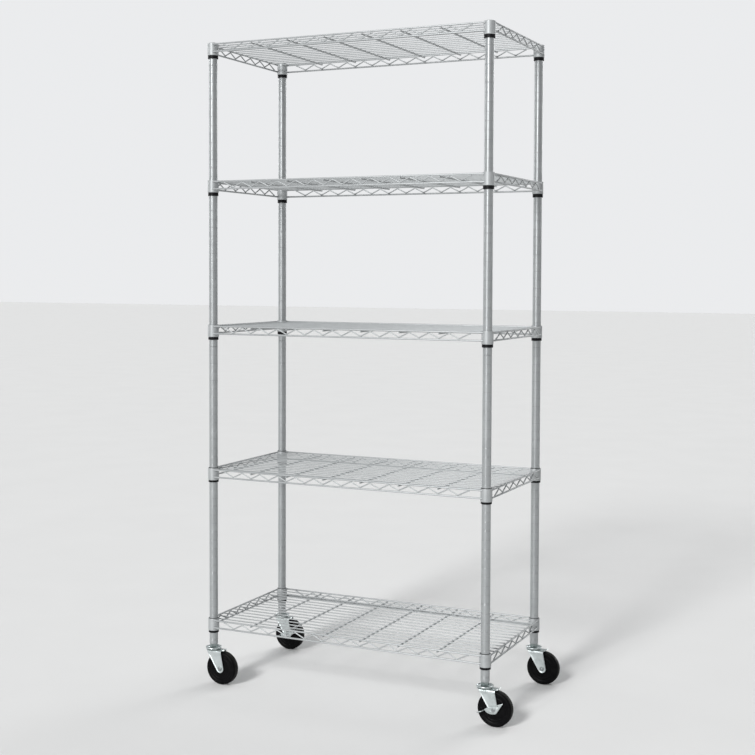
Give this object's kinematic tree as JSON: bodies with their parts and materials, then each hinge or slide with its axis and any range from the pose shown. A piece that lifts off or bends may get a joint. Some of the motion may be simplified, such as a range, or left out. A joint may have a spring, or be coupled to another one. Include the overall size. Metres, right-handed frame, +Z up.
{
  "type": "wire shelving rack",
  "caption": "Tall open rack of level wire shelves with truss edges, clipped by collars to round notched posts, on swivel casters, two of them braked.",
  "frame": {"origin": "on the floor, at the centre of the footprint box of the rack as it stands, with every caster trailing towards +X", "axes": "+Z up along the posts, +X along the shelves, +Y from the front of the rack to its back"},
  "size_m": [0.981, 0.4764, 1.929],
  "materials": {
    "shelf_coat": "silver-grey epoxy coat, satin",
    "post_coat": "silver-grey epoxy coat, satin, finely pebbled",
    "black_plastic": "moulded black plastic",
    "grey_plastic": "moulded grey plastic",
    "zinc": "bright zinc plated",
    "steel": "plain steel",
    "black_rubber": "moulded black, satin"
  },
  "bodies": {
    "rack": {"shelf_1": "shelf_coat", "deck_grid_1": "shelf_coat", "shelf_2": "shelf_coat", "deck_grid_2": "shelf_coat", "shelf_3": "shelf_coat", "deck_grid_3": "shelf_coat", "shelf_4": "shelf_coat", "deck_grid_4": "shelf_coat", "shelf_5": "shelf_coat", "deck_grid_5": "shelf_coat", "post_lower_fl": "post_coat", "post_upper_fl": "post_coat", "post_cap_fl": "grey_plastic", "post_lower_fr": "post_coat", "post_upper_fr": "post_coat", "post_cap_fr": "grey_plastic", "post_lower_bl": "post_coat", "post_upper_bl": "post_coat", "post_cap_bl": "grey_plastic", "post_lower_br": "post_coat", "post_upper_br": "post_coat", "post_cap_br": "grey_plastic", "sleeve_1_fl": "black_plastic", "sleeve_1_fr": "black_plastic", "sleeve_1_bl": "black_plastic", "sleeve_1_br": "black_plastic", "sleeve_2_fl": "black_plastic", "sleeve_2_fr": "black_plastic", "sleeve_2_bl": "black_plastic", "sleeve_2_br": "black_plastic", "sleeve_3_fl": "black_plastic", "sleeve_3_fr": "black_plastic", "sleeve_3_bl": "black_plastic", "sleeve_3_br": "black_plastic", "sleeve_4_fl": "black_plastic", "sleeve_4_fr": "black_plastic", "sleeve_4_bl": "black_plastic", "sleeve_4_br": "black_plastic", "sleeve_5_fl": "black_plastic", "sleeve_5_fr": "black_plastic", "sleeve_5_bl": "black_plastic", "sleeve_5_br": "black_plastic", "caster_stem_fl": "zinc", "caster_stem_fr": "zinc", "caster_stem_bl": "zinc", "caster_stem_br": "zinc"},
    "fork_fl": {"fork_fl": "zinc", "axle_fl": "steel"},
    "wheel_fl": {"wheel_fl": "black_rubber"},
    "fork_fr": {"fork_fr": "zinc", "axle_fr": "steel"},
    "wheel_fr": {"wheel_fr": "black_rubber"},
    "brake_fr": {"brake_lever_fr": "zinc"},
    "fork_bl": {"fork_bl": "zinc", "axle_bl": "steel"},
    "wheel_bl": {"wheel_bl": "black_rubber"},
    "brake_bl": {"brake_lever_bl": "zinc"},
    "fork_br": {"fork_br": "zinc", "axle_br": "steel"},
    "wheel_br": {"wheel_br": "black_rubber"}
  },
  "joints": [
    {"name": "swivel_fl", "type": "hinge", "parent": "rack", "child": "fork_fl", "pos_m": [-0.4665, -0.20885, 0.104], "axis": [0, 0, 1], "continuous": true},
    {"name": "wheel_spin_fl", "type": "hinge", "parent": "fork_fl", "child": "wheel_fl", "pos_m": [-0.4355, -0.20885, 0.05], "axis": [0, 1, 0], "continuous": true},
    {"name": "swivel_fr", "type": "hinge", "parent": "rack", "child": "fork_fr", "pos_m": [0.4095, -0.20885, 0.104], "axis": [0, 0, 1], "continuous": true},
    {"name": "wheel_spin_fr", "type": "hinge", "parent": "fork_fr", "child": "wheel_fr", "pos_m": [0.4405, -0.20885, 0.05], "axis": [0, 1, 0], "continuous": true},
    {"name": "brake_fr", "type": "hinge", "parent": "fork_fr", "child": "brake_fr", "pos_m": [0.4405, -0.22715, 0.05], "axis": [0, 1, 0], "range_deg": [0, 22]},
    {"name": "swivel_bl", "type": "hinge", "parent": "rack", "child": "fork_bl", "pos_m": [-0.4665, 0.21415, 0.104], "axis": [0, 0, 1], "continuous": true},
    {"name": "wheel_spin_bl", "type": "hinge", "parent": "fork_bl", "child": "wheel_bl", "pos_m": [-0.4355, 0.21415, 0.05], "axis": [0, 1, 0], "continuous": true},
    {"name": "brake_bl", "type": "hinge", "parent": "fork_bl", "child": "brake_bl", "pos_m": [-0.4355, 0.19585, 0.05], "axis": [0, 1, 0], "range_deg": [0, 22]},
    {"name": "swivel_br", "type": "hinge", "parent": "rack", "child": "fork_br", "pos_m": [0.4095, 0.21415, 0.104], "axis": [0, 0, 1], "continuous": true},
    {"name": "wheel_spin_br", "type": "hinge", "parent": "fork_br", "child": "wheel_br", "pos_m": [0.4405, 0.21415, 0.05], "axis": [0, 1, 0], "continuous": true}
  ]
}
